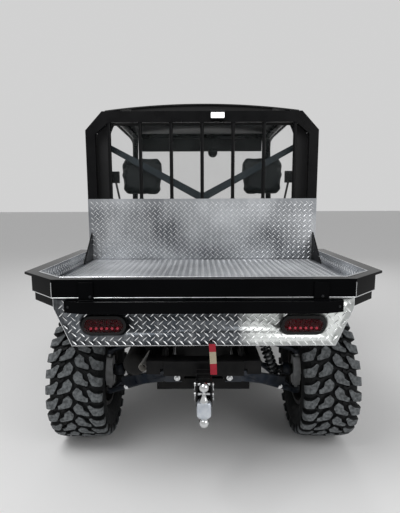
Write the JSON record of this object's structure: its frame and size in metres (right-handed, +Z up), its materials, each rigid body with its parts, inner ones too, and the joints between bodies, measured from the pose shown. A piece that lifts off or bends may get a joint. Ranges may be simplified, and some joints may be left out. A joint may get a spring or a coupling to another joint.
{
  "type": "side by side utility vehicle",
  "caption": "Open-sided two-seat utility vehicle with a tilting flat cargo bed, a barred rack behind the cab, four tread tyres, steered front wheels and half doors.",
  "frame": {"origin": "on the ground, midway between the foremost and rearmost points, on the centre line", "axes": "+X to the vehicle's right, +Y forward, +Z up"},
  "size_m": [1.646, 3.235, 2.0057],
  "materials": {
    "frame_black": "satin black powder coat",
    "bed_black": "gloss black paint",
    "tread_plate": "bright diamond tread plate",
    "tyre_rubber": "black tread rubber",
    "rim_black": "satin black alloy",
    "cast_alloy": "cast alloy",
    "dark_steel": "blue-black painted steel",
    "spring_steel": "silver shock and spring",
    "body_panel": "moulded gloss graphite panel",
    "dark_plastic": "moulded black plastic",
    "grommet_rubber": "black rubber",
    "lamp_red": "red lamp lens",
    "lamp_clear": "clear lamp lens",
    "clear_glass": "clear pane",
    "seat_vinyl": "black vinyl",
    "chrome_ball": "chrome balls on a satin alloy block",
    "mirror_glass": "mirror in a black rim",
    "strap_web": "red webbing",
    "exhaust_steel": "dull grey steel"
  },
  "bodies": {
    "chassis": {"chassis_frame": "frame_black", "skid_plate": "dark_plastic", "cab_floor": "dark_plastic", "engine_block": "cast_alloy", "final_drives": "cast_alloy", "half_shafts": "dark_steel", "suspension_arms": "dark_steel", "shocks": "spring_steel", "rear_hub_carriers": "cast_alloy", "steering_rack": "cast_alloy", "front_bumper": "frame_black", "hood": "body_panel", "grille": "dark_plastic", "headlamps": "lamp_clear", "front_fenders": "body_panel", "dash": "dark_plastic", "steering_column": "dark_steel", "seat_base": "dark_plastic", "seat_cushions": "seat_vinyl", "seat_backs": "seat_vinyl", "rocker_panels": "dark_plastic", "quarter_panels": "body_panel", "rear_wall": "dark_plastic", "roll_cage": "frame_black", "rear_brace": "dark_steel", "roof": "dark_plastic", "windshield": "clear_glass", "rear_window": "clear_glass", "cab_mirror": "mirror_glass", "exhaust": "exhaust_steel", "hitch_receiver": "frame_black", "ball_mount": "chrome_ball", "pull_strap": "strap_web"},
    "bed": {"bed_frame": "frame_black", "bed_floor": "tread_plate", "bed_rails": "bed_black", "tail_panel": "tread_plate", "lamp_grommets": "grommet_rubber", "tail_lamps": "lamp_red", "cross_bar": "bed_black", "headboard_plate": "tread_plate", "rack_frame": "frame_black", "gussets": "frame_black", "work_lamp": "lamp_clear"},
    "steering_wheel_body": {"steering_wheel": "dark_plastic"},
    "tie_rod_body": {"tie_rods": "dark_steel"},
    "door_left_body": {"door_left": "body_panel"},
    "door_right_body": {"door_right": "body_panel"},
    "knuckle_left_body": {"knuckle_left": "cast_alloy"},
    "knuckle_right_body": {"knuckle_right": "cast_alloy"},
    "wheel_rear_left": {"tyre_rear_left": "tyre_rubber", "rim_rear_left": "rim_black"},
    "wheel_rear_right": {"tyre_rear_right": "tyre_rubber", "rim_rear_right": "rim_black"},
    "wheel_front_left": {"tyre_front_left": "tyre_rubber", "rim_front_left": "rim_black"},
    "wheel_front_right": {"tyre_front_right": "tyre_rubber", "rim_front_right": "rim_black"}
  },
  "joints": [
    {"name": "bed_tilt", "type": "hinge", "parent": "chassis", "child": "bed", "pos_m": [0, -1.4125, 0.8], "axis": [1, 0, 0], "range_deg": [0, 42]},
    {"name": "steer_left", "type": "hinge", "parent": "chassis", "child": "knuckle_left_body", "pos_m": [-0.548, 1.1585, 0.355], "axis": [0, 0, 1], "range_deg": [-28, 28]},
    {"name": "steer_right", "type": "hinge", "parent": "chassis", "child": "knuckle_right_body", "pos_m": [0.548, 1.1585, 0.355], "axis": [0, 0, 1], "range_deg": [-28, 28]},
    {"name": "rack_travel", "type": "slide", "parent": "chassis", "child": "tie_rod_body", "axis": [1, 0, 0], "range_m": [-0.054, 0.054]},
    {"name": "wheel_turn", "type": "hinge", "parent": "chassis", "child": "steering_wheel_body", "pos_m": [-0.43, 0.4375, 1.13], "axis": [0, -0.788, 0.6157], "range_deg": [-252, 252]},
    {"name": "door_left_swing", "type": "hinge", "parent": "chassis", "child": "door_left_body", "pos_m": [-0.738, 0.6605, 0.75], "axis": [0, 0, -1], "range_deg": [0, 70]},
    {"name": "door_right_swing", "type": "hinge", "parent": "chassis", "child": "door_right_body", "pos_m": [0.738, 0.6605, 0.75], "axis": [0, 0, 1], "range_deg": [0, 70]},
    {"name": "roll_rear_left", "type": "hinge", "parent": "chassis", "child": "wheel_rear_left", "pos_m": [-0.651, -0.8985, 0.355], "axis": [1, 0, 0], "continuous": true},
    {"name": "roll_rear_right", "type": "hinge", "parent": "chassis", "child": "wheel_rear_right", "pos_m": [0.651, -0.8985, 0.355], "axis": [1, 0, 0], "continuous": true},
    {"name": "roll_front_left", "type": "hinge", "parent": "knuckle_left_body", "child": "wheel_front_left", "pos_m": [-0.651, 1.1585, 0.355], "axis": [1, 0, 0], "continuous": true},
    {"name": "roll_front_right", "type": "hinge", "parent": "knuckle_right_body", "child": "wheel_front_right", "pos_m": [0.651, 1.1585, 0.355], "axis": [1, 0, 0], "continuous": true}
  ],
  "couplings": [
    {"joint": "steer_right", "follows": "steer_left", "ratio": 1},
    {"joint": "rack_travel", "follows": "steer_left", "m_per_rad": 0.11},
    {"joint": "wheel_turn", "follows": "steer_left", "ratio": 9}
  ]
}
